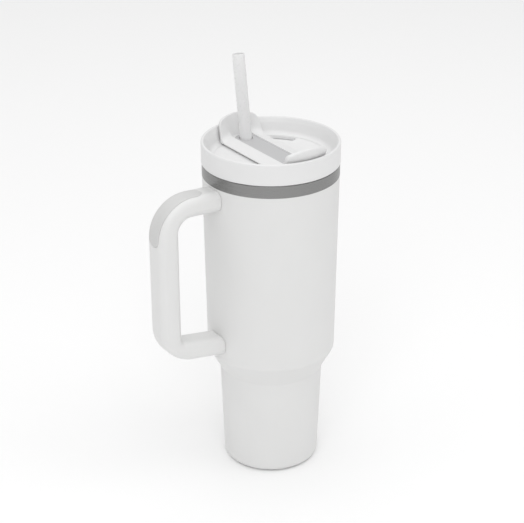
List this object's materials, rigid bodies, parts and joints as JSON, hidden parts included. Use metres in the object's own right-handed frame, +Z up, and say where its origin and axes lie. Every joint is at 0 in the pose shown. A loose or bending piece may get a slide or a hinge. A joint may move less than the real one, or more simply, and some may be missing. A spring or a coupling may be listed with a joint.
{
  "type": "insulated tumbler with lid",
  "caption": "Tall double-wall steel tumbler with a slim lower stem, C-shaped side handle, screw lid, turning lid cover with finger tabs and a leaning straw.",
  "frame": {"origin": "centre of the face that the tumbler stands on, on the body's axis", "axes": "+Z up along the body's axis, handle towards -X, straw side of the lid towards +Y"},
  "size_m": [0.1455, 0.098, 0.3043],
  "materials": {
    "coat": "fine powder coat, satin",
    "bare_steel": "brushed round the band",
    "inner_steel": "electropolished satin",
    "base_steel": "satin",
    "seal_metal": "fused metal bead",
    "getter_metal": "matte",
    "pad_rubber": "matte moulded",
    "handle_plastic": "fine satin mould finish",
    "grip_rubber": "matte soft-touch",
    "bracket_steel": "stamped",
    "screw_steel": "plain",
    "cap_plastic": "satin",
    "lid_plastic": "fine satin mould finish",
    "disc_plastic": "satin",
    "bar_plastic": "satin",
    "insert_plastic": "smooth light grey",
    "washer_plastic": "plain",
    "silicone": "satin, slightly translucent",
    "straw_plastic": "smooth, slightly translucent"
  },
  "bodies": {
    "cup": {"outer_shell": "coat", "mouth_band": "bare_steel", "inner_liner": "inner_steel", "base_disc": "base_steel", "vacuum_plug": "seal_metal", "getter": "getter_metal", "base_pad": "pad_rubber", "handle_shell": "handle_plastic", "comfort_grip": "grip_rubber", "upper_bracket": "bracket_steel", "lower_bracket": "bracket_steel", "upper_screw": "screw_steel", "lower_screw": "screw_steel", "upper_cap": "cap_plastic", "lower_cap": "cap_plastic"},
    "seal": {"lid_gasket": "silicone"},
    "lid": {"lid_rim": "lid_plastic", "lid_plug": "lid_plastic", "cover_seal": "silicone"},
    "cover": {"sealing_disc": "disc_plastic", "turn_bar": "bar_plastic", "channel_insert": "insert_plastic", "pivot_washer": "washer_plastic", "pivot_screw": "screw_steel"},
    "straw": {"straw": "straw_plastic"}
  },
  "joints": [
    {"name": "lid_rise", "type": "slide", "parent": "cup", "child": "seal", "axis": [0, 0, 1], "range_m": [0, 0.024]},
    {"name": "lid_turn", "type": "hinge", "parent": "seal", "child": "lid", "pos_m": [0, 0, 0.2364], "axis": [0, 0, 1], "range_deg": [0, 720]},
    {"name": "cover_turn", "type": "hinge", "parent": "lid", "child": "cover", "pos_m": [0, 0, 0.238], "axis": [0, 0, 1], "range_deg": [0, 75]},
    {"name": "straw_pull", "type": "slide", "parent": "cover", "child": "straw", "axis": [0, 0.1495, 0.9888], "range_m": [0, 0.24]}
  ],
  "couplings": [
    {"joint": "lid_rise", "follows": "lid_turn", "m_per_rad": 0.0019099}
  ]
}
